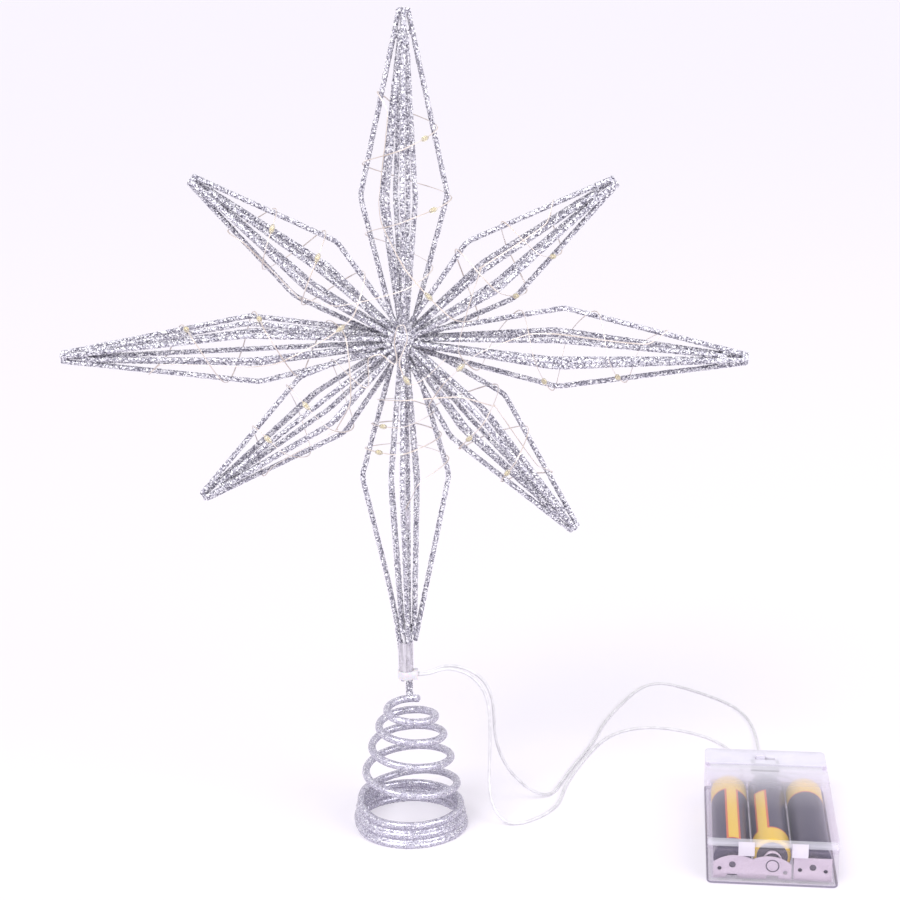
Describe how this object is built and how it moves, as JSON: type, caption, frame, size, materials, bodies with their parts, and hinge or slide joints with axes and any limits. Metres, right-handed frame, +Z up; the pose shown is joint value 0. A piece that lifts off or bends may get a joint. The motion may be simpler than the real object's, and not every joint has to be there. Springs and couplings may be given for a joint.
{
  "type": "christmas tree topper star",
  "caption": "Glittered wire star with a fairy-light string, on a conical coil foot that slips over a tree top, wired to a clear AAA battery box with a hinged lid and slide switch.",
  "frame": {"origin": "the coil's axis on the surface it stands on", "axes": "+X to the right seen from the star's front, +Y to the back, +Z up through the star"},
  "size_m": [0.2217, 0.1498, 0.2362],
  "materials": {
    "glitter_wire": "steel wire with coarse silver glitter coat",
    "coil_wire": "steel wire with fine silver glitter coat",
    "shrink_tube": "cloudy clear shrink tube",
    "white_nylon": "moulded nylon",
    "clear_pvc": "clear PVC insulation over tinned strands",
    "copper_string": "enamelled copper",
    "led_resin": "cast clear resin over a warm white chip",
    "clear_plastic": "clear moulded plastic",
    "cell_wrap": "printed metallic film, dark with a yellow band",
    "nickel_plate": "nickel-plated steel",
    "dark_plastic": "moulded plastic",
    "knob_plastic": "moulded plastic"
  },
  "bodies": {
    "base": {"coil_base": "coil_wire", "lead_wire_a": "clear_pvc", "lead_wire_b": "clear_pvc", "return_wire": "clear_pvc", "box_case": "clear_plastic", "compartment_cover": "clear_plastic", "cell_left": "cell_wrap", "cell_middle": "cell_wrap", "cell_right": "cell_wrap", "cell_caps": "nickel_plate", "cell_discs": "nickel_plate", "front_link_plate": "nickel_plate", "front_single_plate": "nickel_plate", "rear_link_plate": "nickel_plate", "rear_single_plate": "nickel_plate", "contact_springs": "nickel_plate", "switch_pins": "nickel_plate", "switch_body": "dark_plastic"},
    "star": {"arm_bottom": "glitter_wire", "arm_lower_right": "glitter_wire", "arm_right": "glitter_wire", "arm_upper_right": "glitter_wire", "arm_top": "glitter_wire", "arm_upper_left": "glitter_wire", "arm_left": "glitter_wire", "arm_lower_left": "glitter_wire", "hub_core": "glitter_wire", "stem_post": "glitter_wire", "shrink_sleeve": "shrink_tube", "lead_collar": "white_nylon", "lead_risers": "clear_pvc", "splice_sleeve": "shrink_tube", "fairy_wire": "copper_string", "led_drops": "led_resin"},
    "lid": {"box_lid": "clear_plastic"},
    "knob": {"switch_knob": "knob_plastic"}
  },
  "joints": [
    {"name": "coil_press", "type": "slide", "parent": "base", "child": "star", "axis": [0, 0, 1], "range_m": [-0.01, 0], "stiffness_N_per_m": 2800, "springref_m": 0.0005, "deforming": ["coil_base", "lead_wire_a", "lead_wire_b"]},
    {"name": "lid_hinge", "type": "hinge", "parent": "base", "child": "lid", "pos_m": [0.1061, 0.01047, 0.0121], "axis": [-0.9954, 0.0958, 0], "range_deg": [0, 95]},
    {"name": "switch_slide", "type": "slide", "parent": "base", "child": "knob", "axis": [0.9954, -0.0958, 0], "range_m": [0, 0.0028]}
  ]
}
